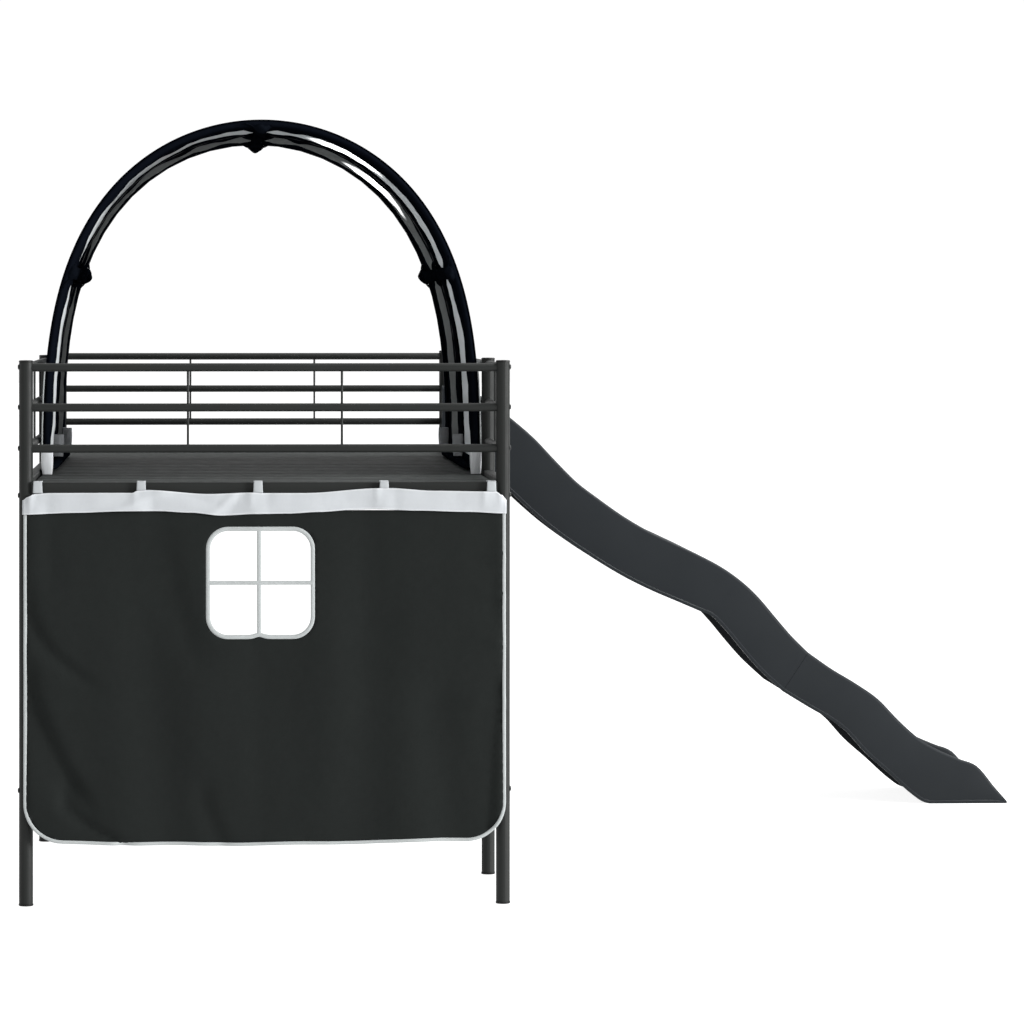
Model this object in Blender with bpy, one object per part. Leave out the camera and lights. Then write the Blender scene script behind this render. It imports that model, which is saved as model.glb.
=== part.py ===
"""Mid-height metal bed with a ladder, a hoop tunnel, a play curtain and a wavy slide.

The bed stands on eight tube posts. Everything is in metres, +Z up, the long
side of the bed runs along Y, and the slide leaves the bed towards +X.
"""

from math import cos, pi, radians, sin

import bmesh
import bpy
from mathutils import Matrix, Vector

# ---- driving dimensions ------------------------------------------------------
GAP = 0.0003                 # clearance kept between touching pieces

BED_CENTRE = (-0.6495, 0.0009, 0.0)   # puts the origin under the middle of it all
HALF_WIDTH = 0.477           # post centres, across the bed
HALF_LENGTH = 1.025          # post centres, along the bed
POST_RADIUS = 0.014
POST_BORE = 0.0125
POST_SIDES = 24
TOTAL_HEIGHT = 1.089
FOOT_HEIGHT = 0.004
CAP_HEIGHT = 0.0042

SIDE_POST_Y = 0.585          # posts beside the slide, the ladder and the tunnel
RAIL_RADIUS = 0.0083
RAIL_BORE = 0.0070
RAIL_SIDES = 16
RAIL_HEIGHTS = (1.0744, 0.9942, 0.9122)
ROD_RADIUS = 0.0024
END_ROD_X = 0.154            # upright rods of both end guards

END_BEAM_TOP = 0.845
SIDE_BEAM_TOP = 0.852
BEAM_HEIGHT = 0.048
BEAM_WIDTH = 0.020
BEAM_WALL = 0.0015
LEDGE_TOP = 0.8267           # lip inside the side beams that carries the slats
LEDGE_THICKNESS = 0.003
LEDGE_WIDTH = 0.020
BRACE_HEIGHT = 0.230
BRACE_RADIUS = 0.0095

DECK_TOP = 0.842             # top of the slats, where the mattress lies
DECK_HALF_WIDTH = 0.4625
SLAT_COUNT = 12
SLAT_WIDTH = 0.072
SLAT_HEIGHT = 0.0145
SLAT_SKIN = 0.0008           # wall of the slats, which are wide flat tubes
DECK_NEAR_CENTRE = 0.0096
DECK_FAR_END = 1.0115

LADDER_X = 0.503
LADDER_Y = (0.638, 0.958)
STILE_RADIUS = 0.011
STILE_BORE = 0.0095
RUNG_RADIUS = 0.010
RUNG_HEIGHTS = (0.211, 0.422, 0.634)

TUNNEL_HALF_WIDTH = 0.4625
TUNNEL_HEIGHT = 0.7495
TUNNEL_HALF_LENGTH = 0.560
TUNNEL_POWER = 0.67
TUNNEL_STEPS = 44
CLOTH = 0.002
HOOP_RADIUS = 0.004
HOOP_INSET = 0.0072          # hoop centre line, under the outer face of the cloth
STRAP_DEPTH = 0.003

CURTAIN_FRONT = -1.0415      # outer face of the curtain, clear of the posts
SEAM_HEIGHT = 0.785          # the black cloth hangs from the white band here
CURTAIN_BOTTOM = 0.130
CURTAIN_LEFT = -0.482
CURTAIN_RIGHT = 0.4825
CURTAIN_CORNER = 0.075
TAB_CENTRES = (-0.4530, -0.2470, -0.0140, 0.2380, 0.4530)
TAB_WIDTH = 0.0175
WINDOW_LEFT = -0.110
WINDOW_RIGHT = 0.093
WINDOW_BOTTOM = 0.540
WINDOW_TOP = 0.748
WINDOW_CORNER = 0.036
BAR_CENTRE_X = -0.0105
BAR_CENTRE_Z = 0.6450
BAR_WIDTH = 0.0080

SLIDE_NEAR = 0.638           # outer faces of the slide's two side walls
SLIDE_FAR = 0.998
SLIDE_WALL = 0.015
SLIDE_DECK = 0.008
SLIDE_RISE = 0.036           # height of the sliding surface over the wall foot

# Upper and lower edge of the slide's walls, as (x, z) pairs down its length.
SLIDE_UPPER = (
    ((0.4680, 1.0020), (0.4680, 0.8525)),
    ((0.5000, 0.9975), (0.4890, 0.8525)),
    ((0.5450, 0.9815), (0.5060, 0.8370)),
    ((0.6000, 0.9415), (0.5480, 0.8073)),
    ((0.6670, 0.8849), (0.6070, 0.7583)),
    ((0.7170, 0.8324), (0.6600, 0.7082)),
    ((0.7710, 0.7778), (0.7130, 0.6629)),
    ((0.8210, 0.7394), (0.7680, 0.6227)),
    ((0.8810, 0.6967), (0.8270, 0.5835)),
    ((0.9410, 0.6608), (0.8910, 0.5459)),
    ((1.0010, 0.6322), (0.9560, 0.5139)),
    ((1.0620, 0.6030), (1.0200, 0.4866)),
    ((1.1220, 0.5711), (1.0680, 0.4660)),
    ((1.1720, 0.5356), (1.1000, 0.4517)),
    ((1.2130, 0.4968), (1.1360, 0.4145)),
    ((1.2530, 0.4496), (1.1710, 0.3721)),
    ((1.2930, 0.4033), (1.2150, 0.3222)),
    ((1.3320, 0.3648), (1.2700, 0.2715)),
)
SLIDE_LOWER = (
    ((1.3325, 0.3644), (1.2705, 0.2711)),
    ((1.3890, 0.3248), (1.3310, 0.2341)),
    ((1.4450, 0.2912), (1.3820, 0.2047)),
    ((1.5010, 0.2523), (1.4250, 0.1725)),
    ((1.5510, 0.2007), (1.4710, 0.1219)),
    ((1.6000, 0.1570), (1.5270, 0.0726)),
    ((1.6470, 0.1289), (1.5840, 0.0214)),
    ((1.6970, 0.1072), (1.6250, 0.0000)),
    ((1.7420, 0.0886), (1.7070, 0.0000)),
    ((1.7830, 0.0399), (1.7680, 0.0000)),
    ((1.8130, 0.0055), (1.8130, 0.0000)),
)


# ---- scene and materials -----------------------------------------------------
def clear_scene():
    for item in list(bpy.data.objects):
        bpy.data.objects.remove(item, do_unlink=True)


def material(name, colour, roughness, metallic):
    made = bpy.data.materials.new(name)
    made.use_nodes = True
    shader = made.node_tree.nodes["Principled BSDF"]
    shader.inputs["Base Color"].default_value = (*colour, 1.0)
    shader.inputs["Roughness"].default_value = roughness
    shader.inputs["Metallic"].default_value = metallic
    return made


def add_object(name, mesh, surface=None, smooth=True):
    """Puts a mesh in the scene under the bed's centre."""
    if smooth:
        mesh.shade_smooth()
        mesh.set_sharp_from_angle(angle=radians(35))
    item = bpy.data.objects.new(name, mesh)
    bpy.context.scene.collection.objects.link(item)
    if surface is not None:
        mesh.materials.clear()
        mesh.materials.append(surface)
        item.parent = BED
    return item


def mesh_from(bm, name):
    bmesh.ops.recalc_face_normals(bm, faces=bm.faces[:])
    mesh = bpy.data.meshes.new(name)
    bm.to_mesh(mesh)
    bm.free()
    return mesh


# ---- basic shapes, each returned as a mesh -----------------------------------
def rings_mesh(name, rings, closed=False):
    """Joins equal rings of points into a skin, with caps unless it closes."""
    bm = bmesh.new()
    loops = [[bm.verts.new(point) for point in ring] for ring in rings]
    count = len(loops[0])
    pairs = list(zip(loops, loops[1:]))
    if closed:
        pairs.append((loops[-1], loops[0]))
    for first, second in pairs:
        for i in range(count):
            j = (i + 1) % count
            bm.faces.new((first[i], first[j], second[j], second[i]))
    if not closed:
        bm.faces.new(loops[0])
        bm.faces.new(loops[-1][::-1])
    return mesh_from(bm, name)


def circle(radius, sides, turn=0.0):
    steps = [2 * pi * i / sides + turn for i in range(sides)]
    return [(radius * cos(step), radius * sin(step)) for step in steps]


def axis_frame(start, end):
    """Two directions square to the line from start to end."""
    along = (Vector(end) - Vector(start)).normalized()
    upright = abs(along.z) > 0.9
    across = Vector((1, 0, 0)) if upright else along.cross(Vector((0, 0, 1)))
    across.normalize()
    return across, along.cross(across)


def ring_at(point, across, other, outline):
    base = Vector(point)
    return [base + across * u + other * v for u, v in outline]


def bar_mesh(name, start, end, radius, sides):
    across, other = axis_frame(start, end)
    outline = circle(radius, sides)
    ends = [ring_at(point, across, other, outline) for point in (start, end)]
    return rings_mesh(name, ends)


def pipe_mesh(name, start, end, radius, bore, sides):
    """A round tube that is open at both ends."""
    across, other = axis_frame(start, end)
    rings = []
    for size, point in ((bore, start), (radius, start), (radius, end), (bore, end)):
        rings.append(ring_at(point, across, other, circle(size, sides)))
    return rings_mesh(name, rings, closed=True)


def box_mesh(name, low, high):
    x0, y0, z0 = low
    x1, y1, z1 = high
    lower = [(x0, y0, z0), (x1, y0, z0), (x1, y1, z0), (x0, y1, z0)]
    upper = [(x, y, z1) for x, y, _ in lower]
    return rings_mesh(name, [lower, upper])


def turned_mesh(name, profile, centre, sides):
    """Turns (radius, height) points about a vertical axis; both ends lie on it."""
    bm = bmesh.new()
    x, y, z = centre
    first = bm.verts.new((x, y, z + profile[0][1]))
    last = bm.verts.new((x, y, z + profile[-1][1]))
    loops = []
    for radius, height in profile[1:-1]:
        ring = [(x + u, y + v, z + height) for u, v in circle(radius, sides)]
        loops.append([bm.verts.new(point) for point in ring])
    for i in range(sides):
        j = (i + 1) % sides
        bm.faces.new((first, loops[0][j], loops[0][i]))
        bm.faces.new((last, loops[-1][i], loops[-1][j]))
        for lower, upper in zip(loops, loops[1:]):
            bm.faces.new((lower[i], lower[j], upper[j], upper[i]))
    return mesh_from(bm, name)


def rounded_rectangle(left, right, bottom, top, radii, steps):
    """Outline with four corner radii, from the lower left, going anticlockwise."""
    corners = (
        (left, bottom, 1, 1, pi),
        (right, bottom, -1, 1, 1.5 * pi),
        (right, top, -1, -1, 0.0),
        (left, top, 1, -1, 0.5 * pi),
    )
    points = []
    for (x, z, inward_x, inward_z, turn), radius in zip(corners, radii):
        if radius == 0:
            points.append((x, z))
            continue
        for i in range(steps + 1):
            angle = turn + 0.5 * pi * i / steps
            centre_x = x + inward_x * radius
            centre_z = z + inward_z * radius
            points.append((centre_x + radius * cos(angle), centre_z + radius * sin(angle)))
    return points


def slab_mesh(name, outline, front, back):
    """A flat panel in the XZ plane, between two Y positions."""
    rings = [[(x, y, z) for x, z in outline] for y in (front, back)]
    return rings_mesh(name, rings)


# ---- joining and cutting -----------------------------------------------------
def helper(mesh):
    item = add_object(mesh.name, mesh, smooth=False)
    item.hide_render = True
    item.display_type = "WIRE"
    return item


def evaluated_mesh(item, name):
    bpy.context.view_layer.update()
    graph = bpy.context.evaluated_depsgraph_get()
    mesh = bpy.data.meshes.new_from_object(item.evaluated_get(graph))
    mesh.name = name
    return mesh


def combined_mesh(name, pieces, cutters=()):
    """Unites the pieces into one body, then takes the cutters out of it."""
    base = helper(pieces[0])
    others = [(helper(piece), "UNION") for piece in pieces[1:]]
    others += [(helper(cutter), "DIFFERENCE") for cutter in cutters]
    for other, operation in others:
        step = base.modifiers.new(operation.lower(), "BOOLEAN")
        step.operation = operation
        step.solver = "EXACT"
        step.object = other
    mesh = evaluated_mesh(base, name)
    for item in [base] + [other for other, _ in others]:
        bpy.data.objects.remove(item, do_unlink=True)
    return mesh


def post_cutter(x, y, low=0.0, high=1.2):
    """The room that a post takes, with its clearance."""
    return bar_mesh("post_room", (x, y, low), (x, y, high), POST_RADIUS + GAP, POST_SIDES)


# ---- posts -------------------------------------------------------------------
def add_post(place, x, y):
    low = FOOT_HEIGHT + GAP
    high = TOTAL_HEIGHT - CAP_HEIGHT - GAP
    tube = pipe_mesh("post", (x, y, low), (x, y, high), POST_RADIUS, POST_BORE, POST_SIDES)
    add_object(f"post_{place}", tube, STEEL)
    plug = POST_BORE - 0.0006
    foot = (
        (0.0, 0.0), (0.0140, 0.0), (0.0147, 0.0010), (0.0147, FOOT_HEIGHT),
        (plug, FOOT_HEIGHT), (plug, 0.014), (0.0, 0.014),
    )
    add_object(f"foot_{place}", turned_mesh("foot", foot, (x, y, 0.0), 16), PLASTIC)
    cap = (
        (0.0, -0.010), (plug, -0.010), (plug, 0.0), (0.0143, 0.0),
        (0.0143, 0.0026), (0.0125, 0.0038), (0.0, CAP_HEIGHT),
    )
    at = (x, y, TOTAL_HEIGHT - CAP_HEIGHT)
    add_object(f"cap_{place}", turned_mesh("cap", cap, at, 16), PLASTIC)


def add_posts():
    for place, x, y in POSTS:
        add_post(place, x, y)


# ---- guards, beams and braces ------------------------------------------------
def add_guard(place, start, end, rods):
    """Three level tubes with upright rods, welded up and coped to two posts."""
    (x0, y0), (x1, y1) = start, end
    solids, bores = [], []
    for height in RAIL_HEIGHTS:
        ends = ((x0, y0, height), (x1, y1, height))
        solids.append(bar_mesh("rail", *ends, RAIL_RADIUS, RAIL_SIDES))
        bores.append(bar_mesh("rail_bore", *ends, RAIL_BORE, RAIL_SIDES))
    for share in rods:
        x = x0 + (x1 - x0) * share
        y = y0 + (y1 - y0) * share
        low = (x, y, RAIL_HEIGHTS[-1])
        high = (x, y, RAIL_HEIGHTS[0])
        solids.append(bar_mesh("rod", low, high, ROD_RADIUS, 8))
    cutters = bores + [post_cutter(x0, y0), post_cutter(x1, y1)]
    add_object(f"guard_{place}", combined_mesh("guard", solids, cutters), STEEL)


def add_guards():
    share = 0.5 - 0.5 * END_ROD_X / HALF_WIDTH
    for place, y, aside in (("front", -HALF_LENGTH, 0.0), ("back", HALF_LENGTH, -0.0022)):
        ends = ((-HALF_WIDTH, y), (HALF_WIDTH, y))
        add_guard(place, *ends, (share + aside, 1 - share + aside))
    left, right = -HALF_WIDTH, HALF_WIDTH
    add_guard("left_front", (left, -HALF_LENGTH), (left, 0.0), (0.41, 0.70))
    add_guard("left_back", (left, 0.0), (left, SIDE_POST_Y), (0.50,))
    add_guard("right_front", (right, -HALF_LENGTH), (right, -SIDE_POST_Y), (0.50,))
    add_guard("right_middle", (right, -SIDE_POST_Y), (right, SIDE_POST_Y), (0.33, 0.67))


def beam_rings(start, end, width, height, wall, top):
    """Rings of a rectangular tube whose top face lies at the given height."""
    middle = top - height / 2
    points = [(*start, middle), (*end, middle)]
    across, other = axis_frame(*points)
    rings = []
    for shrink, point in ((wall, 0), (0.0, 0), (0.0, 1), (wall, 1)):
        w, h = width / 2 - shrink, height / 2 - shrink
        r = max(0.003 - shrink, 0.0012)
        outline = rounded_rectangle(-w, w, -h, h, (r,) * 4, 2)
        rings.append(ring_at(points[point], across, other, outline))
    return rings


def add_beam(name, start, end, top, ledge=0):
    """A rectangular tube between two posts, with an inner ledge where asked."""
    rings = beam_rings(start, end, BEAM_WIDTH, BEAM_HEIGHT, BEAM_WALL, top)
    pieces = [rings_mesh("beam", rings, closed=True)]
    if ledge:
        inner = start[0] + ledge * (BEAM_WIDTH / 2 - 0.0005)
        tip = start[0] + ledge * (BEAM_WIDTH / 2 + LEDGE_WIDTH)
        near = max(start[1] + 0.0005, -DECK_FAR_END)
        far = min(end[1] - 0.0005, DECK_FAR_END)
        low = (min(inner, tip), near, LEDGE_TOP - LEDGE_THICKNESS)
        high = (max(inner, tip), far, LEDGE_TOP)
        pieces.append(box_mesh("ledge", low, high))
    cutters = [post_cutter(*start), post_cutter(*end)]
    add_object(name, combined_mesh("beam", pieces, cutters), STEEL)


def add_beams():
    for place, y in (("front", -HALF_LENGTH), ("back", HALF_LENGTH)):
        add_beam(f"beam_{place}", (-HALF_WIDTH, y), (HALF_WIDTH, y), END_BEAM_TOP)
    left_stops = (-HALF_LENGTH, 0.0, SIDE_POST_Y, HALF_LENGTH)
    right_stops = (-HALF_LENGTH, -SIDE_POST_Y, SIDE_POST_Y, HALF_LENGTH)
    for side, x, stops in (("left", -HALF_WIDTH, left_stops), ("right", HALF_WIDTH, right_stops)):
        ledge = 1 if x < 0 else -1
        for part, y0, y1 in zip(("front", "middle", "back"), stops, stops[1:]):
            add_beam(f"beam_{side}_{part}", (x, y0), (x, y1), SIDE_BEAM_TOP, ledge)


def add_braces():
    for place, y in (("front", -HALF_LENGTH), ("back", HALF_LENGTH)):
        ends = ((-HALF_WIDTH, y, BRACE_HEIGHT), (HALF_WIDTH, y, BRACE_HEIGHT))
        tube = bar_mesh("brace", *ends, BRACE_RADIUS, RAIL_SIDES)
        cutters = [
            bar_mesh("brace_bore", *ends, BRACE_RADIUS - 0.0013, RAIL_SIDES),
            post_cutter(-HALF_WIDTH, y),
            post_cutter(HALF_WIDTH, y),
        ]
        add_object(f"brace_{place}", combined_mesh("brace", [tube], cutters), STEEL)


# ---- sleeping deck -----------------------------------------------------------
def add_slat_panel(place, side):
    """Cross slats welded between two runners that rest on the beams' ledges."""
    near, far = sorted((side * DECK_NEAR_CENTRE, side * DECK_FAR_END))
    pieces, bores = [], []
    low_z = LEDGE_TOP + GAP
    for x0 in (-DECK_HALF_WIDTH, DECK_HALF_WIDTH - 0.015):
        low = (x0, near, low_z)
        high = (x0 + 0.015, far, DECK_TOP - 0.0005)
        pieces.append(box_mesh("runner", low, high))
    pitch = (far - near - SLAT_WIDTH - 0.004) / (SLAT_COUNT - 1)
    reach = DECK_HALF_WIDTH - 0.0012
    for i in range(SLAT_COUNT):
        y0 = near + 0.002 + pitch * i
        low = (-reach, y0, DECK_TOP - SLAT_HEIGHT)
        high = (reach, y0 + SLAT_WIDTH, DECK_TOP)
        pieces.append(box_mesh("slat", low, high))
        low = (-HALF_WIDTH, low[1] + SLAT_SKIN, low[2] + SLAT_SKIN)
        high = (HALF_WIDTH, high[1] - SLAT_SKIN, high[2] - SLAT_SKIN)
        bores.append(box_mesh("slat_bore", low, high))
    mesh = combined_mesh("slats", pieces, bores)
    add_object(f"slat_panel_{place}", mesh, STEEL, smooth=False)


def add_deck():
    add_slat_panel("front", -1)
    add_slat_panel("back", 1)
    reach = DECK_NEAR_CENTRE - 0.0006
    low = (-HALF_WIDTH, -reach, LEDGE_TOP + GAP)
    high = (DECK_HALF_WIDTH, reach, DECK_TOP - 0.0005)
    cutters = [post_cutter(-HALF_WIDTH, 0.0)]
    tie = combined_mesh("tie", [box_mesh("tie_bar", low, high)], cutters)
    add_object("beam_centre", tie, STEEL, smooth=False)


# ---- ladder ------------------------------------------------------------------
def add_ladder():
    """Two tube stiles hooked over the left back beam, with tube rungs between."""
    x = -LADDER_X
    for place, y in zip(("near", "far"), LADDER_Y):
        ends = ((x, y, 0.0), (x, y, 0.8700))
        tube = pipe_mesh("stile", *ends, STILE_RADIUS, STILE_BORE, 20)
        wall = x + STILE_BORE + 0.0004
        inner = -HALF_WIDTH + BEAM_WIDTH / 2 + GAP
        plate = box_mesh("hook_plate", (wall, y - 0.006, 0.8524), (inner + 0.003, y + 0.006, 0.8554))
        lip = box_mesh("hook_lip", (inner, y - 0.006, 0.8345), (inner + 0.003, y + 0.006, 0.8550))
        mesh = combined_mesh("stile", [tube, plate, lip])
        add_object(f"ladder_stile_{place}", mesh, STEEL)
    for place, height in zip(("low", "middle", "high"), RUNG_HEIGHTS):
        ends = ((x, LADDER_Y[0], height), (x, LADDER_Y[1], height))
        tube = bar_mesh("rung", *ends, RUNG_RADIUS, RAIL_SIDES)
        cutters = [bar_mesh("rung_bore", *ends, RUNG_RADIUS - 0.0013, RAIL_SIDES)]
        for y in LADDER_Y:
            room = ((x, y, 0.0), (x, y, 0.9))
            cutters.append(bar_mesh("stile_room", *room, STILE_RADIUS + GAP, 20))
        add_object(f"ladder_rung_{place}", combined_mesh("rung", [tube], cutters), STEEL)


# ---- slide -------------------------------------------------------------------
def slide_ring(top, bottom, rise):
    """Cross-section of the trough: two upright walls with the deck between."""
    (top_x, top_z), (foot_x, foot_z) = top, bottom
    length = ((top_x - foot_x) ** 2 + (top_z - foot_z) ** 2) ** 0.5
    deck_top = min(rise, 0.62 * length)
    deck_low = max(deck_top - SLIDE_DECK, 0.18 * length)
    edge = min(0.006, 0.2 * length)
    inner = SLIDE_WALL
    wide = SLIDE_FAR - SLIDE_NEAR
    half = [
        (0.0, 0.0), (0.0, length - edge), (edge, length),
        (inner - edge, length), (inner, length - edge), (inner, deck_top),
    ]
    under = [(inner, deck_low), (inner, 0.0)]
    section = half + [(wide - y, height) for y, height in half[::-1]]
    section += [(wide - y, height) for y, height in under[::-1]] + under
    ring = []
    for y, height in section:
        share = height / length
        x = foot_x + (top_x - foot_x) * share
        z = foot_z + (top_z - foot_z) * share
        ring.append((x, SLIDE_NEAR + y, z))
    return ring


def add_slide():
    rings = []
    for i, (top, bottom) in enumerate(SLIDE_UPPER):
        rise = 0.020 + (SLIDE_RISE - 0.020) * min(1.0, i / 5)
        rings.append(slide_ring(top, bottom, rise))
    add_object("slide_upper", rings_mesh("slide", rings), SLIDE_PLASTIC)
    rings = [slide_ring(top, bottom, SLIDE_RISE) for top, bottom in SLIDE_LOWER]
    add_object("slide_lower", rings_mesh("slide", rings), SLIDE_PLASTIC)


# ---- tunnel ------------------------------------------------------------------
def arch_point(angle, inset):
    """Point of the tunnel's arch, from the right foot over to the left foot.

    The crown is round and the sides stand nearly upright at their feet.
    """
    x = (TUNNEL_HALF_WIDTH - inset) * cos(angle)
    z = (TUNNEL_HEIGHT - inset) * max(sin(angle), 0.0) ** TUNNEL_POWER
    return x, DECK_TOP + 0.0005 + z


def arch_points(inset, steps):
    """Evenly spaced points of the arch, found along a finely cut one."""
    fine = [arch_point(pi * i / 4000, inset) for i in range(4001)]
    lengths = [0.0]
    for (x0, z0), (x1, z1) in zip(fine, fine[1:]):
        lengths.append(lengths[-1] + ((x1 - x0) ** 2 + (z1 - z0) ** 2) ** 0.5)
    points, place = [], 0
    for i in range(steps + 1):
        goal = lengths[-1] * i / steps
        while place < len(lengths) - 1 and lengths[place] < goal:
            place += 1
        points.append(fine[place])
    return points


def add_tunnel():
    outer = arch_points(0.0, TUNNEL_STEPS)
    inner = arch_points(CLOTH, TUNNEL_STEPS)
    outline = outer + inner[::-1]
    ends = (-TUNNEL_HALF_LENGTH, -0.30, 0.0, 0.30, TUNNEL_HALF_LENGTH)
    bm = bmesh.new()
    loops = [[bm.verts.new((x, y, z)) for x, z in outline] for y in ends]
    count = len(outline)
    for first, second in zip(loops, loops[1:]):
        for i in range(count):
            j = (i + 1) % count
            bm.faces.new((first[i], first[j], second[j], second[i]))
    for loop in (loops[0], loops[-1]):
        for i in range(TUNNEL_STEPS):
            bm.faces.new((loop[i], loop[i + 1], loop[count - 2 - i], loop[count - 1 - i]))
    add_object("tunnel_fabric", mesh_from(bm, "tunnel"), BLACK_CLOTH)
    line = arch_points(HOOP_INSET, 36)
    for place, y in (("front", -0.5535), ("middle", 0.0), ("back", 0.5535)):
        add_object(f"tunnel_hoop_{place}", hoop_mesh(line, y), FIBRE_ROD)
    for place, angle in (("left", 154), ("top", 90), ("right", 26)):
        add_strap(place, radians(angle))


def hoop_mesh(line, y):
    rings = []
    for i, (x, z) in enumerate(line):
        x0, z0 = line[max(i - 1, 0)]
        x1, z1 = line[min(i + 1, len(line) - 1)]
        along = Vector((x1 - x0, 0, z1 - z0)).normalized()
        if i in (0, len(line) - 1):
            along = Vector((0, 0, 1 if i == 0 else -1))
        across = Vector((0, 1, 0))
        other = along.cross(across)
        rings.append(ring_at((x, y, z), across, other, circle(HOOP_RADIUS, 8)))
    return rings_mesh("hoop", rings)


def add_strap(place, angle):
    """A tie strap that runs the tunnel's length on the inner side of the hoops."""
    inset = HOOP_INSET + HOOP_RADIUS + 3 * GAP
    x, z = arch_point(angle, inset)
    after, before = arch_point(angle + 0.01, inset), arch_point(angle - 0.01, inset)
    along = Vector((after[0] - before[0], 0, after[1] - before[1])).normalized()
    inward = along.cross(Vector((0, 1, 0)))
    if inward.dot(Vector((-x, 0, DECK_TOP - z))) < 0:
        inward = -inward
    outline = ((-0.014, 0.0), (0.014, 0.0), (0.011, STRAP_DEPTH), (-0.011, STRAP_DEPTH))
    ends = []
    for y in (-TUNNEL_HALF_LENGTH + 0.002, TUNNEL_HALF_LENGTH - 0.002):
        ends.append(ring_at((x, y, z), along, inward, outline))
    add_object(f"tunnel_strap_{place}", rings_mesh("strap", ends), BLACK_CLOTH, smooth=False)


# ---- curtain -----------------------------------------------------------------
def add_curtain():
    add_curtain_band()
    add_curtain_panel()


def add_curtain_band():
    """White band with five loops that go round the front beam."""
    front, back = CURTAIN_FRONT, CURTAIN_FRONT + CLOTH
    outline = (
        (-0.4835, SEAM_HEIGHT), (0.4830, SEAM_HEIGHT), (0.4830, 0.8100),
        (0.4640, 0.8260), (-0.4640, 0.8260), (-0.4835, 0.8090),
    )
    pieces = [slab_mesh("band", outline, front, back)]
    beam_back = -HALF_LENGTH + BEAM_WIDTH / 2 + GAP
    low = END_BEAM_TOP - BEAM_HEIGHT - GAP
    high = END_BEAM_TOP + GAP
    for x in TAB_CENTRES:
        left, right = x - TAB_WIDTH / 2, x + TAB_WIDTH / 2
        loop = box_mesh("loop", (left, front, low - CLOTH), (right, beam_back + CLOTH, high + CLOTH))
        room = box_mesh("room", (left - 0.01, back, low), (right + 0.01, beam_back, high))
        pieces.append(combined_mesh("loop", [loop], [room]))
    add_object("curtain_band", combined_mesh("band", pieces), WHITE_CLOTH, smooth=False)


def add_curtain_panel():
    """Black cloth with a four-pane window, hinged at its seam under the band."""
    top = SEAM_HEIGHT - GAP
    radii = (CURTAIN_CORNER, CURTAIN_CORNER, 0, 0)
    sides = (CURTAIN_LEFT, CURTAIN_RIGHT, CURTAIN_BOTTOM, top)
    outline = rounded_rectangle(*sides, radii, 6)
    cloth = slab_mesh("cloth", outline, CURTAIN_FRONT, CURTAIN_FRONT + CLOTH)
    half = BAR_WIDTH / 2
    panes = []
    spans_x = ((WINDOW_LEFT, BAR_CENTRE_X - half), (BAR_CENTRE_X + half, WINDOW_RIGHT))
    spans_z = ((WINDOW_BOTTOM, BAR_CENTRE_Z - half), (BAR_CENTRE_Z + half, WINDOW_TOP))
    for column, (left, right) in enumerate(spans_x):
        for row, (low, high) in enumerate(spans_z):
            radii = [0.0] * 4
            corner = {(0, 0): 0, (1, 0): 1, (1, 1): 2, (0, 1): 3}[column, row]
            radii[corner] = WINDOW_CORNER
            pane = rounded_rectangle(left, right, low, high, radii, 5)
            panes.append(slab_mesh("pane", pane, CURTAIN_FRONT - 0.01, CURTAIN_FRONT + 0.02))
    mesh = combined_mesh("curtain", [cloth], panes)
    mesh.transform(Matrix.Translation((0.0, -CURTAIN_FRONT, -SEAM_HEIGHT)))
    panel = add_object("curtain_panel", mesh, BLACK_CLOTH, smooth=False)
    panel.location = (0.0, CURTAIN_FRONT, SEAM_HEIGHT)


# ---- build -------------------------------------------------------------------
clear_scene()
BED = bpy.data.objects.new("bed_centre", None)
BED.location = BED_CENTRE
bpy.context.scene.collection.objects.link(BED)

STEEL = material("dark_steel", (0.045, 0.048, 0.047), 0.45, 0.3)
PLASTIC = material("black_plastic", (0.012, 0.012, 0.012), 0.5, 0.0)
SLIDE_PLASTIC = material("slide_plastic", (0.036, 0.042, 0.048), 0.45, 0.0)
BLACK_CLOTH = material("black_cloth", (0.018, 0.020, 0.020), 0.85, 0.0)
WHITE_CLOTH = material("white_cloth", (0.72, 0.74, 0.77), 0.85, 0.0)
FIBRE_ROD = material("fibre_rod", (0.02, 0.02, 0.025), 0.4, 0.0)

POSTS = (
    ("front_left", -HALF_WIDTH, -HALF_LENGTH),
    ("front_right", HALF_WIDTH, -HALF_LENGTH),
    ("back_left", -HALF_WIDTH, HALF_LENGTH),
    ("back_right", HALF_WIDTH, HALF_LENGTH),
    ("middle_left", -HALF_WIDTH, 0.0),
    ("ladder_left", -HALF_WIDTH, SIDE_POST_Y),
    ("middle_right", HALF_WIDTH, -SIDE_POST_Y),
    ("slide_right", HALF_WIDTH, SIDE_POST_Y),
)

add_posts()
add_guards()
add_beams()
add_braces()
add_deck()
add_ladder()
add_slide()
add_tunnel()
add_curtain()
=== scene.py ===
"""Looks of a mid-height metal bed with a cloth tunnel, a play curtain, a ladder and a slide."""

from math import cos, hypot, pi, radians, sin

import bmesh
import bpy
import numpy as np
from mathutils import Matrix, Vector, geometry, noise


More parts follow.
